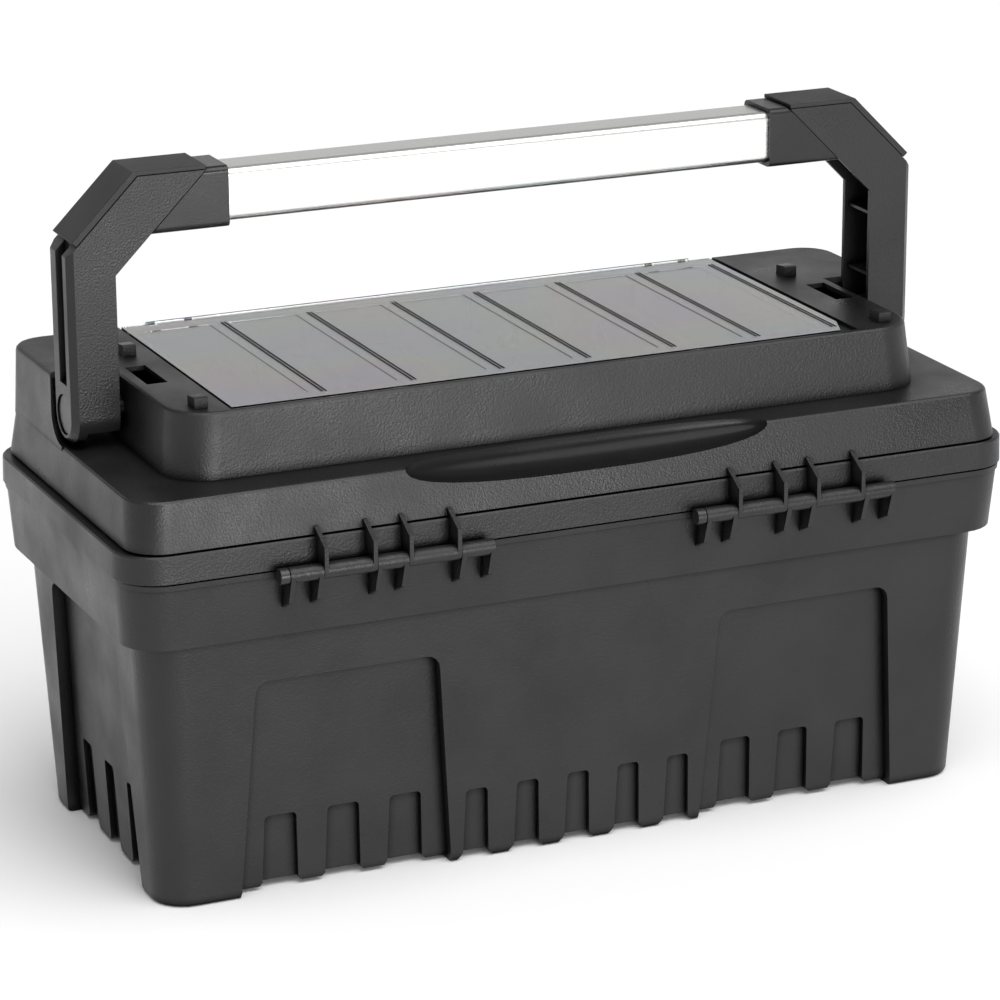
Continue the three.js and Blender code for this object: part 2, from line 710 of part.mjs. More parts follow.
function stubs() {
  const [width, depth, height] = STUB;
  return [-1, 1].flatMap((side) =>
    STUB_Y.map((y) => {
      const x = side * STUB_X;
      const outline = [
        [y - depth / 2, top - 1],
        [y + depth / 2, top - 1],
        [y + depth / 2, top + height - 1.2],
        [y - depth / 2 + 2, top + height],
        [y - depth / 2, top + height - 0.6],
      ];
      return prismX(outline, x - width / 2, x + width / 2);
    }),
  );
}

function wells() {
  const [width, depth] = WELL;
  return [-1, 1].map((side) => {
    const x = side * WELL_X;
    return box(x - width / 2, x + width / 2, WELL_Y - depth / 2, WELL_Y + depth / 2, ledge + WALL, top + 1);
  });
}

function latchEars() {
  const y = halfDepth + LATCH_OUT;
  const z = seam + LATCH_ABOVE_SEAM;
  const outline = [
    [halfDepth - 1.5, z - 7],
    [y, z - LATCH_KNUCKLE],
    ...arc(y, z, LATCH_KNUCKLE, -Math.PI / 4, Math.PI / 2, 5),
    [halfDepth - 1.5, z + 6.6],
  ];
  const half = LATCH_WIDTH / 2;
  return [-1, 1].flatMap((side) =>
    [-half - EAR, half].map((from) => prismX(outline, side * LATCH_X + from, side * LATCH_X + from + EAR)),
  );
}

function latchBores() {
  const reach = LATCH_WIDTH / 2 + EAR + 1;
  return [-1, 1].map((side) =>
    rodX(
      LATCH_PIN + RUNNING,
      side * LATCH_X - reach,
      side * LATCH_X + reach,
      halfDepth + LATCH_OUT,
      seam + LATCH_ABOVE_SEAM,
    ),
  );
}

function makeLid() {
  const shell = lidOutside().subtract(lidInside()).subtract(organizerCuts());
  const added = union(shell, stubs(), coverClips(), latchEars(), hingeStarts.map(lidHinge));
  const pivots = [-1, 1].map((side) => {
    const [from, to] = side < 0 ? [-ARM_INNER, -WELL_X + 12] : [WELL_X - 12, ARM_INNER];
    return rodX(PIVOT_SHAFT + RUNNING, from, to, PIVOT_Y, pivotZ);
  });
  const holes = [
    scoopBody(SCOOP, SCOOP_X, scoopY, ledge),
    ...wells(),
    ...pivots,
    ...latchBores(),
    ...hingeStarts.map(hingeBore),
    rodX(COVER_ROD + RUNNING + 0.05, coverLeft, coverRight, coverHingeY, coverHingeZ),
  ];
  return holes.reduce((part, hole) => part.subtract(hole), added);
}

// ---- Organizer dividers and cover ---------------------------------------------------------------
function makeDivider() {
  return box(
    -DIVIDER_THICKNESS / 2,
    DIVIDER_THICKNESS / 2,
    trayFront - DIVIDER_SLOT + GAP,
    trayBack + DIVIDER_SLOT - GAP,
    trayFloor + GAP,
    trayTop - GAP,
  );
}

// The cover is drawn about its hinge line.
function makeCover() {
  const left = coverLeft;
  const right = coverRight;
  const front = COVER_FRONT - coverHingeY;
  const low = coverFloor - coverHingeZ;
  const high = coverTop - coverHingeZ;
  const [cutX, cutY] = FINGER_CUT;
  const outline = [
    [left, front],
    [right - cutX, front],
    [right, front + cutY],
    [right, -1],
    [left, -1],
  ];
  const plate = extrude(outline, high - low, X, Y, Z, new THREE.Vector3(0, 0, low));
  const windows = clipPlaces.map((x) => {
    const half = CLIP_WIDTH / 2 + 0.5;
    return box(x - half, x + half, -COVER_ROD - 1.9, 1, low - 1, high + 1);
  });
  const rod = rodX(COVER_ROD, coverMiddle - coverRodHalf, coverMiddle + coverRodHalf, 0, 0, 12);
  const catches = [-1, 1].map((side) => {
    const x = (left + right) / 2 + side * CATCH_SPREAD;
    return box(x - CATCH_WIDTH / 2, x + CATCH_WIDTH / 2, front - 1.2, front + 1, low, high - 0.8);
  });
  const trimmed = windows.reduce((part, window) => part.subtract(window), plate);
  return [...panes(front, high), ...ribGrooves(front, high)].reduce(
    (part, cut) => part.subtract(cut),
    union(trimmed, rod, catches),
  );
}

const compartmentEdges = () => [trayLeft, ...dividerPlaces(), trayRight];

function panes(front, high) {
  const [marginLeft, marginRight, marginFront, marginBack] = PANE_MARGIN;
  const edges = compartmentEdges();
  return edges.slice(1).map((edge, i) =>
    box(
      edges[i] + marginLeft,
      edge - marginRight,
      front + marginFront,
      front + COVER_DEPTH - marginBack,
      high - PANE_DEPTH,
      high + 1,
    ),
  );
}

// A pair of vee grooves over each divider.
function ribGrooves(front, high) {
  const [width, depth] = RIB_GROOVE;
  return compartmentEdges().slice(1).flatMap((edge) =>
    [-1, 1].map((side) => {
      const x = edge + side * (width / 2 + 0.35);
      const outline = [
        [x - width / 2, high + 0.001],
        [x - width / 2, high + 1],
        [x + width / 2, high + 1],
        [x + width / 2, high + 0.001],
        [x, high - depth],
      ];
      return prismY(outline.reverse(), front + PANE_MARGIN[2] - 3, front + COVER_DEPTH - PANE_MARGIN[3] + 3);
    }),
  );
}

// ---- Latches, drawn about their own pin -----------------------------------------------------------
function makeLatch() {
  const half = LATCH_WIDTH / 2 - GAP;
  const front = LATCH_KNUCKLE;
  const back = front - LATCH_PLATE;
  const hookTop = -KEEPER_BELOW - GAP;
  const hookReach = -KEEPER[1] + GAP;
  const outline = [
    [back, -2],
    [back, hookTop],
    [hookReach, hookTop],
    [hookReach, hookTop - 2],
    [back - 1, hookTop - HOOK],
    [back, -LATCH_DROP],
    [front + 2, -LATCH_DROP],
    [front + 2, -LATCH_DROP + 3],
    [front, -LATCH_DROP + 8],
    [front, 1],
    [back, 1],
  ];
  const body = union(rodX(LATCH_KNUCKLE, -half, half, 0, 0), prismX(outline, -half, half));
  return body.subtract(rodX(LATCH_PIN + RUNNING, -half - 1, half + 1, 0, 0));
}

function makeLatchPin() {
  const half = LATCH_WIDTH / 2 + EAR;
  return rodX(LATCH_PIN, -half, half, 0, 0);
}

function makeHingePin() {
  const rod = rodX(HINGE_PIN, -PIN_HEAD, knuckles.length - 1, 0, 0);
  return union(rod, rodX(KNUCKLE, -PIN_HEAD - GAP, -GAP, 0, 0));
}

// ---- Handle, drawn about its pivot line, right-hand side --------------------------------------------
const armNear = -ARM_DEPTH / 2;
const armFar = ARM_DEPTH / 2;
const ferruleFoot = FERRULE_TOP - FERRULE_HEIGHT;
const armTip = ARM_INNER - (ARM_TOP - ARM_BEND); // where the 45 degree inner edge meets the top
const armShoulder = ARM_OUTER - (ARM_TOP - ARM_OUTER_BEND);

function armOutline() {
  const foot = -ARM_DEPTH / 2;
  return [
    [ARM_INNER, foot],
    [ARM_OUTER, foot],
    [ARM_OUTER, ARM_OUTER_BEND],
    [armShoulder, ARM_TOP],
    [armTip, ARM_TOP],
    [ARM_INNER, ARM_BEND],
  ];
}

function makeArm() {
  const body = prismY(armOutline(), armNear, armFar);
  const chamferX = ARM_OUTER - ARM_CHAMFER;
  const upper = [[armFar, ARM_TOP + 1], [armNear, ARM_TOP + 1]];
  const round = prismX([...upper, ...arc(0, 0, armFar, Math.PI, 2 * Math.PI, 14)], armTip - 5, chamferX);
  const inner = armFar - ARM_CHAMFER;
  const narrow = prismX(
    [[inner, ARM_OUTER_BEND + inner], [-inner, ARM_OUTER_BEND + inner], [-inner, 0], [inner, 0]],
    chamferX - 1,
    ARM_OUTER,
  );
  const slopes = [-1, 1].map((side) => chamferWedge(side, chamferX));
  const footCone = coneX(armFar, inner, chamferX, ARM_OUTER, 28);
  const backX = ARM_OUTER - ARM_BACK;
  const slope = ARM_WALL * Math.SQRT2;
  const channel = prismY(
    [
      [ARM_INNER - 80, -ARM_DEPTH],
      [backX, -ARM_DEPTH],
      [backX, ARM_OUTER_BEND - ARM_WALL - 3],
      [armShoulder - slope, ARM_TOP - ARM_WALL],
      [armTip - 5, ARM_TOP - ARM_WALL],
    ],
    armNear + ARM_WALL,
    armFar - ARM_WALL,
  );
  const ribs = ARM_RIBS.map((z) => box(ARM_INNER + 3, backX + 1, armNear + 1, armFar - 1, z - 1, z + 1));
  const boss = rodX(BOSS, ARM_INNER, backX + 1, 0, 0);
  const blunt = union(round, narrow, slopes, footCone);
  const hollow = body.intersect(blunt).subtract(channel);
  const filled = union(hollow, ribs, boss);
  const groove = box(
    ARM_OUTER - ARM_GROOVE[0],
    ARM_OUTER + 1,
    -ARM_GROOVE[1] + 4.5,
    4.5,
    ARM_GROOVE_START,
    ARM_OUTER_BEND + 8,
  );
  const bore = rodX(PIVOT_SHAFT + RUNNING, ARM_INNER - 1, ARM_OUTER + 1, 0, 0);
  const seat = ARM_OUTER - PIVOT_RECESS - PIVOT_HEAD_THICKNESS - GAP;
  const counterbore = rodX(PIVOT_HEAD + RUNNING, seat, ARM_OUTER + 1, 0, 0, HEAD_STEPS);
  return [groove, bore, counterbore].reduce((part, cut) => part.subtract(cut), filled);
}

// One of the two long triangular edges that slope from the arm's side to its outer face.
function chamferWedge(side, chamferX) {
  const rim = side * armFar;
  const outline = [
    [chamferX - 1, rim],
    [chamferX, rim],
    [ARM_OUTER, rim - side * ARM_CHAMFER],
    [ARM_OUTER, 0],
    [chamferX - 1, 0],
  ];
  const ordered = side > 0 ? outline.reverse() : outline;
  return extrude(ordered, ARM_TOP, X, Y, Z, new THREE.Vector3(0, 0, 0));
}

// Padded cover over the arm's top and its 45 degree slope.
function makeCornerPad() {
  const slope = ARM_OUTER + ARM_OUTER_BEND; // x + z along the arm's slope
  const [thickTop, thickSlope] = PAD_THICKNESS;
  const inner = slope + GAP * Math.SQRT2;
  const outer = inner + thickSlope * Math.SQRT2;
  const low = ARM_TOP + GAP;
  const high = low + thickTop;
  const foot = ARM_OUTER - PAD_FOOT;
  const outline = [
    [armTip, low],
    [inner - low, low],
    [foot, inner - foot],
    [foot + thickSlope / 2 + 1, outer - foot - thickSlope / 2 - 1],
    [foot + thickSlope / 2, outer - foot - thickSlope / 2],
    [outer - high, high],
    [armTip, high],
  ];
  return prismY(outline, armNear, armFar);
}

function roundedPrism(halfY, halfZ, radius, centreZ, x0, x1) {
  const outline = ring(halfY, halfZ, radius).map(([y, z]) => [y, z + centreZ]);
  return prismX(outline, x0, x1);
}

const ferruleMiddle = FERRULE_TOP - FERRULE_HEIGHT / 2;

function makeFerrule() {
  const sleeve = roundedPrism(ARM_DEPTH / 2, FERRULE_HEIGHT / 2, FERRULE_ROUND, ferruleMiddle, FERRULE_END, ARM_INNER);
  const diagonal = (shift) =>
    prismY(
      [
        [FERRULE_END - PLUG - 5, ferruleFoot - 5],
        [armTip + ARM_TOP - ferruleFoot + 5 - shift, ferruleFoot - 5],
        [armTip - 5 - shift, ARM_TOP + 5],
        [FERRULE_END - PLUG - 5, ARM_TOP + 5],
      ],
      -ARM_DEPTH,
      ARM_DEPTH,
    );
  const visible = sleeve.intersect(diagonal(GAP * Math.SQRT2));
  const inside = ARM_WALL + GAP;
  const spigot = box(
    FERRULE_END + BAR_GRIP,
    armShoulder - 12,
    armNear + inside,
    armFar - inside,
    ferruleFoot + 3,
    ARM_TOP - inside,
  );
  const socket = roundedPrism(
    BAR_DEPTH / 2 + GAP,
    BAR_HEIGHT / 2 + GAP,
    BAR_ROUND + GAP,
    ferruleMiddle,
    FERRULE_END - 1,
    FERRULE_END + BAR_GRIP + GAP,
  );
  const fit = BAR_WALL + GAP;
  const plug = roundedPrism(
    BAR_DEPTH / 2 - fit,
    BAR_HEIGHT / 2 - fit,
    BAR_ROUND - fit,
    ferruleMiddle,
    FERRULE_END + BAR_GRIP - PLUG,
    FERRULE_END + BAR_GRIP + 2,
  );
  return union(visible, spigot).subtract(socket).add(plug);
}

function makeBar() {
  const half = FERRULE_END + BAR_GRIP;
  const outside = roundedPrism(BAR_DEPTH / 2, BAR_HEIGHT / 2, BAR_ROUND, ferruleMiddle, -half, half);
  const inside = roundedPrism(
    BAR_DEPTH / 2 - BAR_WALL,
    BAR_HEIGHT / 2 - BAR_WALL,
    BAR_ROUND - BAR_WALL,
    ferruleMiddle,
    -half - 1,
    half + 1,
  );
  return outside.subtract(inside);
}

function makePivotPin() {
  const headOut = ARM_OUTER - PIVOT_RECESS;
  const headIn = headOut - PIVOT_HEAD_THICKNESS;
  const shaft = rodX(PIVOT_SHAFT, WELL_X - 2, headIn + 1, 0, 0);
  return union(shaft, rodX(PIVOT_HEAD, headIn, headOut, 0, 0, HEAD_STEPS));
}

// ---- Assembly -----------------------------------------------------------------------------------
const toolbox = new THREE.Group();
toolbox.add(mesh("tub", makeTub(), bodyBlack()));
toolbox.add(mesh("lid", makeLid(), bodyBlack()));

const hingePin = makeHingePin();
["left", "right"].forEach((side, i) => {
  const pin = mesh(`hinge_pin_${side}`, hingePin, pinBlack());
  pin.position.set(hingeStarts[i], hingeY, hingeZ);
  toolbox.add(pin);
});

const divider = makeDivider();
dividerPlaces().forEach((x, i) => {
  const plate = mesh(`divider_${i + 1}`, divider, bodyBlack());
  plate.position.x = x;
  toolbox.add(plate);
});

const cover = mesh("organizer_cover", makeCover(), coverClear());
cover.position.set(0, coverHingeY, coverHingeZ);
toolbox.add(cover);

const latchBody = makeLatch();
const latchPin = makeLatchPin();
[["left", -1], ["right", 1]].forEach(([side, sign]) => {
  const latch = new THREE.Group();
  latch.position.set(sign * LATCH_X, halfDepth + LATCH_OUT, seam + LATCH_ABOVE_SEAM);
  latch.add(mesh(`latch_${side}`, latchBody, bodyBlack()));
  latch.add(mesh(`latch_pin_${side}`, latchPin, pinBlack()));
  toolbox.add(latch);
});

const handle = new THREE.Group();
handle.position.set(0, PIVOT_Y, pivotZ);
handle.add(mesh("handle_bar", makeBar(), barAluminium()));
const arm = makeArm();
const pad = makeCornerPad();
const ferrule = makeFerrule();
const pivotPin = makePivotPin();
[["left", -1], ["right", 1]].forEach(([side, sign]) => {
  const half = new THREE.Group();
  half.scale.x = sign;
  half.add(mesh(`handle_arm_${side}`, arm, bodyBlack()));
  half.add(mesh(`corner_pad_${side}`, pad, padBlack()));
  half.add(mesh(`ferrule_${side}`, ferrule, ferruleBlack()));
  half.add(mesh(`pivot_pin_${side}`, pivotPin, pinBlack()));
  handle.add(half);
});
toolbox.add(handle);

export default toolbox;
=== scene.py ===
# %% [markdown]
# # A carpenter's toolbox
#
# A moulded black tub with a hinged lid, an organizer under a clear cover, and an aluminium bar handle.
# The mechanical model comes in as the frame, already in its place: metres, +Z up, the hinge side towards -Y.
# Every shown piece is a copy of a frame piece with its edges rounded, and rides on the body it belongs to.

# %% load the frame
import json
import math

import bmesh
import bpy
import numpy as np
from mathutils import Matrix, Vector


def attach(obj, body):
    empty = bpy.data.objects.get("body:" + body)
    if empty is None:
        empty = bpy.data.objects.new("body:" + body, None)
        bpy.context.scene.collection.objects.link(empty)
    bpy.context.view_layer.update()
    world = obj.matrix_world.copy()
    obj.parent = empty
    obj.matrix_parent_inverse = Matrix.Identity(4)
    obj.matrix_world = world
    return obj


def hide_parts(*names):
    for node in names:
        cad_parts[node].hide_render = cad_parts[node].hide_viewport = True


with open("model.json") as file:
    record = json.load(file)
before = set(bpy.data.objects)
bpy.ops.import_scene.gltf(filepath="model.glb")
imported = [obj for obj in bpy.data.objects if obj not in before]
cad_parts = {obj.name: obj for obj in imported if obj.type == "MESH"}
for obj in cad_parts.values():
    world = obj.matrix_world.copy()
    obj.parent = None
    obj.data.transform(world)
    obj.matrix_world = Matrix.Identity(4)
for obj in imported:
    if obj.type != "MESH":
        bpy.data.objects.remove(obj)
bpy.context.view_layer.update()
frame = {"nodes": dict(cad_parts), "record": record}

MM = 0.001
BODY_OF = {node: body for body, nodes in frame["record"]["behaviour"]["bodies"].items() for node in nodes}
SLOT_OF = {entry["node"]: entry["material_slot"] for entry in frame["record"]["subparts"]}

# %% [markdown]
# ## Shader effects
#
# An effect that several materials share is a node group. Each one takes a position and gives back only a mask or
# a normal, so that the material keeps its own shader.

# %% helpers for node groups


def new_group(name, inputs, outputs):
    """An empty shader node group with the named inputs (kind, default) and outputs, and its two end nodes."""
    group = bpy.data.node_groups.new(name, "ShaderNodeTree")
    for label, (kind, default) in inputs.items():
        socket = group.interface.new_socket(label, in_out="INPUT", socket_type=kind)
        if default is not None:
            socket.default_value = default
    for label, kind in outputs.items():
        group.interface.new_socket(label, in_out="OUTPUT", socket_type=kind)
    return group, group.nodes.new("NodeGroupInput"), group.nodes.new("NodeGroupOutput")


def add(tree, kind, **values):
    """A node of the given kind in the tree, with properties and input sockets set by name."""
    node = tree.nodes.new(kind)
    for key, value in values.items():
        if hasattr(node, key):
            setattr(node, key, value)
        else:
            node.inputs[key.replace("_", " ")].default_value = value
    return node


# %% [markdown]
# Moulds for tool boxes are often spark-eroded, which leaves a fine, even grain on the plastic. Two layers of
# noise make it: a fine one for the grain itself and a broad, weak one for the slight unevenness of a large moulding.

# %% moulded grain
FLOAT, VECTOR = "NodeSocketFloat", "NodeSocketVector"
grain, grain_in, grain_out = new_group(
    "moulded grain",
    {"Position": (VECTOR, None), "Grain Size": (FLOAT, 0.0006), "Depth": (FLOAT, 0.5)},
    {"Normal": VECTOR, "Mottle": FLOAT},
)
scale = add(grain, "ShaderNodeMath", operation="DIVIDE")
scale.inputs[0].default_value = 1.0
fine = add(grain, "ShaderNodeTexNoise", Detail=3.0, Roughness=0.6)
broad = add(grain, "ShaderNodeTexNoise", Scale=22.0, Detail=3.0, Roughness=0.5)
bump = add(grain, "ShaderNodeBump", Distance=0.0004)
grain.links.new(grain_in.outputs["Grain Size"], scale.inputs[1])
grain.links.new(scale.outputs[0], fine.inputs["Scale"])
grain.links.new(grain_in.outputs["Position"], fine.inputs["Vector"])
grain.links.new(grain_in.outputs["Position"], broad.inputs["Vector"])
grain.links.new(fine.outputs["Fac"], bump.inputs["Height"])
grain.links.new(grain_in.outputs["Depth"], bump.inputs["Strength"])
grain.links.new(bump.outputs["Normal"], grain_out.inputs["Normal"])
grain.links.new(broad.outputs["Fac"], grain_out.inputs["Mottle"])
print("effect:", grain.name)

# %% [markdown]
# Light hardly reaches the foot of a step or the inside corner of a pressed panel, so those places hardly shine.
# The mask is full where half of the sky over a point is hidden by something close. It drives the plastic's
# metallic value, which is a trick, as plastic is no metal. A nearly black metal mirrors almost nothing, where a
# higher roughness would only spread the shine.

# %% corner shade
shade, shade_in, shade_out = new_group("corner shade", {"Reach": (FLOAT, 0.007)}, {"Shade": FLOAT})
hidden = add(shade, "ShaderNodeAmbientOcclusion", samples=6)
fade = add(shade, "ShaderNodeMapRange")
fade.inputs["From Min"].default_value = 0.52
fade.inputs["From Max"].default_value = 0.95
fade.inputs["To Min"].default_value = 1.0
fade.inputs["To Max"].default_value = 0.0
shade.links.new(shade_in.outputs["Reach"], hidden.inputs["Distance"])
shade.links.new(hidden.outputs["AO"], fade.inputs["Value"])
shade.links.new(fade.outputs["Result"], shade_out.inputs["Shade"])
print("effect:", shade.name)

# %% [markdown]
# ## Materials
#
# Black polypropylene has hardly any colour of its own: what is seen is the room in its satin skin. The grain
# widens the highlights, and the mottle changes the roughness a little from place to place.

# %% plastic


def plastic(name, colour, roughness, grain_size, depth, spread=0.06, specular=0.5):
    """A moulded plastic: dark base, satin skin, grain of the given size (metres) and depth (0 to 1)."""
    material = bpy.data.materials.new(name)
    material.use_nodes = True
    tree = material.node_tree
    shader = tree.nodes["Principled BSDF"]
    shader.inputs["Specular IOR Level"].default_value = specular
    tint = add(tree, "ShaderNodeMix", data_type="RGBA")
    tint.inputs[6].default_value = (*(0.8 * c for c in colour), 1)
    tint.inputs[7].default_value = (*(1.2 * c for c in colour), 1)
    place = add(tree, "ShaderNodeTexCoord")
    effect = add(tree, "ShaderNodeGroup", node_tree=grain)
    effect.inputs["Grain Size"].default_value = grain_size
    effect.inputs["Depth"].default_value = depth
    spread_node = add(tree, "ShaderNodeMapRange")
    spread_node.inputs["From Min"].default_value = 0.3
    spread_node.inputs["From Max"].default_value = 0.7
    spread_node.inputs["To Min"].default_value = roughness - spread
    spread_node.inputs["To Max"].default_value = roughness + spread
    tree.links.new(place.outputs["Object"], effect.inputs["Position"])
    tree.links.new(effect.outputs["Normal"], shader.inputs["Normal"])
    tree.links.new(effect.outputs["Mottle"], spread_node.inputs["Value"])
    tree.links.new(effect.outputs["Mottle"], tint.inputs[0])
    tree.links.new(tint.outputs[2], shader.inputs["Base Color"])
    tree.links.new(spread_node.outputs["Result"], shader.inputs["Roughness"])
    corners = add(tree, "ShaderNodeGroup", node_tree=shade)
    tree.links.new(corners.outputs["Shade"], shader.inputs["Metallic"])
    return material


body_black = plastic("grained polypropylene", (0.009, 0.009, 0.0096), 0.36, 0.0014, 0.7, spread=0.1, specular=0.4)
smooth_black = plastic("smooth polypropylene", (0.008, 0.008, 0.0086), 0.32, 0.0009, 0.12)
ferrule_black = plastic("ferrule plastic", (0.007, 0.007, 0.0076), 0.26, 0.0012, 0.3, specular=0.42)
pad_black = plastic("pad rubber", (0.009, 0.009, 0.0094), 0.5, 0.0007, 0.6, specular=0.42)
# Painted shade: the scoop's plastic is darker and shines less than the lid's, for the shadow and the black
# reflection of the block above it.
shaded_scoop_black = plastic("scoop with painted shade", (0.006, 0.006, 0.0064), 0.3, 0.0014, 0.2, specular=0.16)
# Painted shade: the cover's groove faces are made black for the dark lines that the dividers under the clear cover
# make through them.
groove_shade_black = plastic("cover grooves with painted shade", (0.004, 0.004, 0.0044), 0.2, 0.0014, 0.1, specular=0.25)
blacks = (body_black, smooth_black, ferrule_black, pad_black, shaded_scoop_black, groove_shade_black)
print("plastics:", [black.name for black in blacks])

# %% [markdown]
# The bar is an extruded tube with a satin anodised skin: a metal whose fine lines run along its length, so the
# noise is stretched many times along X.

# %% aluminium
aluminium = bpy.data.materials.new("anodised aluminium")
aluminium.use_nodes = True
tree = aluminium.node_tree
shader = tree.nodes["Principled BSDF"]
shader.inputs["Base Color"].default_value = (0.76, 0.755, 0.735, 1)
shader.inputs["Metallic"].default_value = 1.0
place = add(tree, "ShaderNodeTexCoord")
stretch = add(tree, "ShaderNodeMapping")
stretch.inputs["Scale"].default_value = (6, 1200, 1200)
lines = add(tree, "ShaderNodeTexNoise", Scale=1.0, Detail=2.0)
level = add(tree, "ShaderNodeMapRange")
level.inputs["To Min"].default_value = 0.22
level.inputs["To Max"].default_value = 0.32
tree.links.new(place.outputs["Object"], stretch.inputs["Vector"])
tree.links.new(stretch.outputs["Vector"], lines.inputs["Vector"])
tree.links.new(lines.outputs["Fac"], level.inputs["Value"])
tree.links.new(level.outputs["Result"], shader.inputs["Roughness"])
print("metal:", aluminium.name)

# %% [markdown]
# The cover is taken to be clear polycarbonate. Its two faces mirror the pale room at a low angle, so it looks
# light grey over a black tray. A slow noise bends the normal slightly, as moulding flow could, and changes the
# thickness of a thin film, which stands in for the faint rainbow of stressed plastic.

# %% clear cover
clear = bpy.data.materials.new("clear polycarbonate")
clear.use_nodes = True
tree = clear.node_tree
shader = tree.nodes["Principled BSDF"]
shader.inputs["Base Color"].default_value = (0.93, 0.93, 0.96, 1)
shader.inputs["Transmission Weight"].default_value = 1.0
shader.inputs["IOR"].default_value = 1.585
shader.inputs["Coat Weight"].default_value = 1.0
shader.inputs["Coat Roughness"].default_value = 0.03
place = add(tree, "ShaderNodeTexCoord")
flow = add(tree, "ShaderNodeTexNoise", Scale=9.0, Detail=1.0)
haze = add(tree, "ShaderNodeMapRange")
haze.inputs["To Min"].default_value = 0.02
haze.inputs["To Max"].default_value = 0.07
wave = add(tree, "ShaderNodeBump", Distance=0.0012, Strength=0.25)
tree.links.new(place.outputs["Object"], flow.inputs["Vector"])
film = add(tree, "ShaderNodeMapRange")
film.inputs["From Min"].default_value = 0.3
film.inputs["From Max"].default_value = 0.7
film.inputs["To Min"].default_value = 340.0
film.inputs["To Max"].default_value = 620.0
shader.inputs["Thin Film IOR"].default_value = 1.48
tree.links.new(flow.outputs["Fac"], film.inputs["Value"])
tree.links.new(film.outputs["Result"], shader.inputs["Thin Film Thickness"])
tree.links.new(flow.outputs["Fac"], haze.inputs["Value"])
tree.links.new(flow.outputs["Fac"], wave.inputs["Height"])
tree.links.new(haze.outputs["Result"], shader.inputs["Roughness"])
tree.links.new(wave.outputs["Normal"], shader.inputs["Normal"])
print("clear:", clear.name)

MATERIAL_OF = {
    "body_plastic": body_black,
    "pin_plastic": smooth_black,
    "ferrule_plastic": ferrule_black,
    "pad_rubber": pad_black,
    "bar_aluminium": aluminium,
    "clear_cover": clear,
}

# %% [markdown]
# ## Pieces taken from the frame
#
# Where the frame already has the right shape, the shown piece is a copy of it with its triangles joined up and
# its edges rounded, since no moulded edge is sharp: a mould is cut with a tool that has a radius.

# %% rounding a frame piece
SAME_POINT = 0.02  # mm
SAME_PLANE = 0.4  # degrees


def rounded_copy(node, radius, segments=3, angle=24, flat=False):
    """A copy of a frame node: doubles merged, flat faces joined, edges over an angle bevelled to a radius in mm."""
    mesh = frame["nodes"][node].data.copy()
    mesh.materials.clear()
    work = bmesh.new()
    work.from_mesh(mesh)
    bmesh.ops.remove_doubles(work, verts=work.verts, dist=SAME_POINT * MM)
    bmesh.ops.dissolve_limit(work, angle_limit=math.radians(SAME_PLANE), verts=work.verts, edges=work.edges)
    for face in work.faces:
        face.smooth = not flat
    work.to_mesh(mesh)
    work.free()
    piece = bpy.data.objects.new("shown_" + node, mesh)
    bpy.context.scene.collection.objects.link(piece)
    bevel = piece.modifiers.new("rounded edges", "BEVEL")
    bevel.width = radius * MM
    bevel.segments = segments
    bevel.limit_method = "ANGLE"
    bevel.angle_limit = math.radians(angle)
    bevel.use_clamp_overlap = True
    if not flat:
        even = piece.modifiers.new("even shading", "WEIGHTED_NORMAL")
        even.mode = "FACE_AREA"
        even.weight = 100
    return piece


def show(piece, node):
    """The piece stands for a frame node: it takes the material of the node's slot, rides on its body, and the node
    is hidden.
    """
    piece.data.materials.append(MATERIAL_OF[SLOT_OF[node]])
    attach(piece, BODY_OF[node])
    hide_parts(node)
    return piece


# %% [markdown]
# Two places get a finish of their own that paints shade into them. The finger scoop is darker and shines less
# than the lid around it: painted shade for the shadow and the black reflection of the block above it. The vee
# grooves that cross the cover are black: painted shade for the dark lines that the black dividers under the clear
# cover make through them, so that the edges of the compartments read as dark lines. Where a face lies decides
# which finish it gets.

# %% painted shade by place


def paint(piece, shade_finish, where):
    """Gives a second material to the faces for which where(centre, normal, area) is true, in mm."""
    piece.data.materials.append(shade_finish)
    faces = piece.data.polygons
    centre, normal, area = (np.empty(3 * len(faces)), np.empty(3 * len(faces)), np.empty(len(faces)))
    faces.foreach_get("center", centre)
    faces.foreach_get("normal", normal)
    faces.foreach_get("area", area)
    chosen = where(centre.reshape(-1, 3) / MM, normal.reshape(-1, 3), area / MM**2)
    faces.foreach_set("material_index", chosen.astype(np.int32))
    print("  ", shade_finish.name, int(chosen.sum()), "faces")


LEDGE = 264.5  # height of the lid's ledge in mm
SCOOP_MIDDLE = (3, -123, LEDGE)
SCOOP_REACH = (125, 26, 18)  # half sizes of a box-like ellipsoid that just holds the scoop
SCOOP_POWER = 2.5
LARGEST_SCOOP_FACE = 2000  # mm2, so that the ledge's own large faces are left out
GROOVE_FROM, GROOVE_TO = -80, 106  # the panes' near and far ends, along Y


def in_scoop(centre, normal, area):
    """Faces inside an ellipsoid round the middle of the ledge's near edge."""
    place = np.abs((centre - SCOOP_MIDDLE) / SCOOP_REACH)
    return ((place**SCOOP_POWER).sum(axis=1) < 1.0) & (area < LARGEST_SCOOP_FACE)


def in_vee_groove(centre, normal, area):
    """Sloping faces of the vee grooves in the cover's top, which run across it."""
    sloping = (np.abs(normal[:, 0]) > 0.3) & (normal[:, 2] > 0.2)
    return sloping & (centre[:, 1] > GROOVE_FROM) & (centre[:, 1] < GROOVE_TO)


# %% [markdown]
# The large mouldings have the softest edges. The thin ones, the clear cover and the sawn bar are crisper, and the
# cover stays flat-shaded so that its panes mirror the room without ripples.

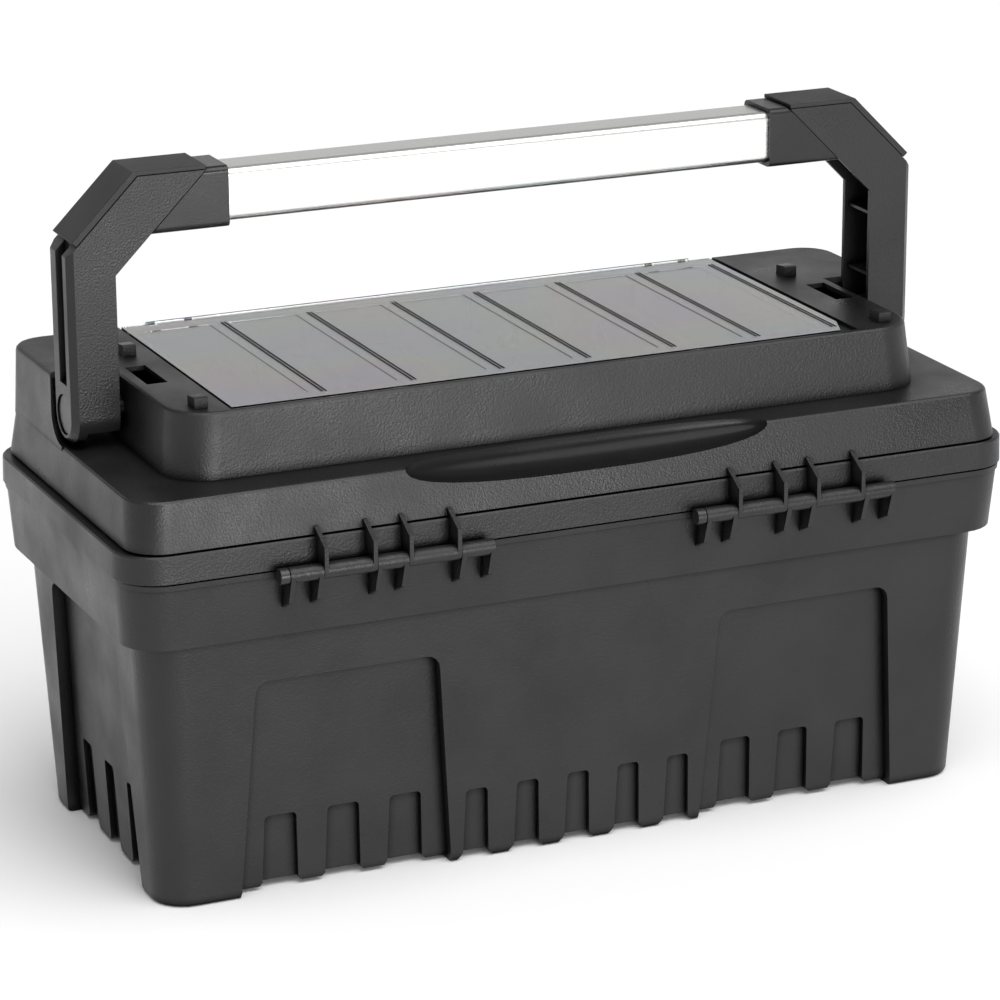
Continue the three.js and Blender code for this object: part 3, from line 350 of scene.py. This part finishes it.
# %% the 24 pieces
# Painted shade: the scoop and the cover's grooves get the darker plastics made above.
PAINTED_SHADE = {"lid": (shaded_scoop_black, in_scoop), "organizer_cover": (groove_shade_black, in_vee_groove)}
EDGE = {
    "tub": 1.2,
    "lid": 1.0,
    "organizer_cover": 0.25,
    "handle_bar": 0.3,
    "ferrule_left": 0.25,
    "ferrule_right": 0.25,
}
USUAL_EDGE = 0.5
for node in frame["nodes"]:
    flat = node == "organizer_cover"
    piece = show(rounded_copy(node, EDGE.get(node, USUAL_EDGE), flat=flat), node)
    if node in PAINTED_SHADE:
        shade_finish, where = PAINTED_SHADE[node]
        paint(piece, shade_finish, where)
    print(node, len(piece.data.polygons), "faces")

# %% [markdown]
# ## Floor, light and camera
#
# A pale floor runs back without an edge. The room is pale, because satin black plastic shows what surrounds it,
# and darker overhead, so that the top faces stay quieter than the sides.

# %% floor
floor_mesh = bpy.data.meshes.new("floor")
FLOOR_REACH = 40.0  # metres each way from the middle
corners = [(FLOOR_REACH * x, FLOOR_REACH * y, 0) for x, y in ((-1, -1), (1, -1), (1, 1), (-1, 1))]
floor_mesh.from_pydata(corners, [], [(0, 1, 2, 3)])
floor = bpy.data.objects.new("floor", floor_mesh)
bpy.context.scene.collection.objects.link(floor)
paper = bpy.data.materials.new("pale paper")
paper.use_nodes = True
paper.node_tree.nodes["Principled BSDF"].inputs["Base Color"].default_value = (0.88, 0.88, 0.88, 1)
paper.node_tree.nodes["Principled BSDF"].inputs["Roughness"].default_value = 0.9
floor_mesh.materials.append(paper)
print("floor:", 2 * FLOOR_REACH, "m square")

# %% room
world = bpy.data.worlds[0] if bpy.data.worlds else bpy.data.worlds.new("studio")
bpy.context.scene.world = world
world.use_nodes = True
room = world.node_tree
place = add(room, "ShaderNodeTexCoord")
split = add(room, "ShaderNodeSeparateXYZ")
dim = add(room, "ShaderNodeMapRange")
dim.inputs["From Max"].default_value = 0.6
dim.inputs["To Min"].default_value = 0.82
dim.inputs["To Max"].default_value = 0.35
room.links.new(place.outputs["Generated"], split.inputs["Vector"])
room.links.new(split.outputs["Z"], dim.inputs["Value"])
room.nodes["Background"].inputs["Color"].default_value = (1, 1, 1, 1)
room.links.new(dim.outputs["Result"], room.nodes["Background"].inputs["Strength"])
bpy.context.scene.view_settings.view_transform = "Standard"
print("room: from", round(dim.inputs["To Min"].default_value, 2), "to", round(dim.inputs["To Max"].default_value, 2))

# %% [markdown]
# A very broad sun from above and a little in front lights the top faces and leaves only a soft shadow. A softbox
# low in front is mirrored in the satin plastic of the long side and in the bar's near face.

# %% lamps
sun = bpy.data.lights.new("overhead light", "SUN")
sun.energy = 2.6
sun.angle = math.radians(60)
lamp = bpy.data.objects.new("overhead light", sun)
lamp.rotation_mode = "QUATERNION"
lamp.rotation_quaternion = Vector((-0.1, 0.45, -1.0)).to_track_quat("-Z", "Y")
bpy.context.scene.collection.objects.link(lamp)


def softbox(name, place, target, width, height, power):
    """A rectangular area light of the given size in metres at a place, turned towards a target."""
    light = bpy.data.lights.new(name, "AREA")
    light.shape = "RECTANGLE"
    light.size, light.size_y = width, height
    light.energy = power
    lamp = bpy.data.objects.new(name, light)
    lamp.location = place
    lamp.rotation_mode = "QUATERNION"
    lamp.rotation_quaternion = (Vector(target) - Vector(place)).to_track_quat("-Z", "Y")
    bpy.context.scene.collection.objects.link(lamp)
    return lamp


front = softbox("front light", (0.1, -3.0, 0.5), (-0.1, 0, 0.22), 1.8, 0.9, 54)
print("lamps:", sun.name, sun.energy, "and", front.name, front.data.energy, "W")

# %% [markdown]
# The camera stands in front of the hinge side and a little to its left, far back with a long lens, so that the
# uprights stay nearly parallel. A small shift sets the box in the frame.

# %% camera
EYE = Vector((-1.0376, -2.3299, 1.0021))
TARGET = Vector((0, 0, 0.150))
ROLL = math.radians(-0.299)
forward = (TARGET - EYE).normalized()
side = forward.cross(Vector((0, 0, 1))).normalized()
over = side.cross(forward)
right = side * math.cos(ROLL) + over * math.sin(ROLL)
up = over * math.cos(ROLL) - side * math.sin(ROLL)
camera = bpy.data.cameras.new("camera")
camera.sensor_width = 36
camera.lens = 150.34
camera.shift_x = -0.0047
camera.shift_y = 0.0660
camera.clip_end = 100
view = bpy.data.objects.new("camera", camera)
view.matrix_world = Matrix((
    (right.x, up.x, -forward.x, EYE.x),
    (right.y, up.y, -forward.y, EYE.y),
    (right.z, up.z, -forward.z, EYE.z),
    (0, 0, 0, 1),
))
bpy.context.scene.collection.objects.link(view)
bpy.context.scene.camera = view
print("camera:", round((TARGET - EYE).length, 3), "m away, lens", round(camera.lens, 2), "mm")
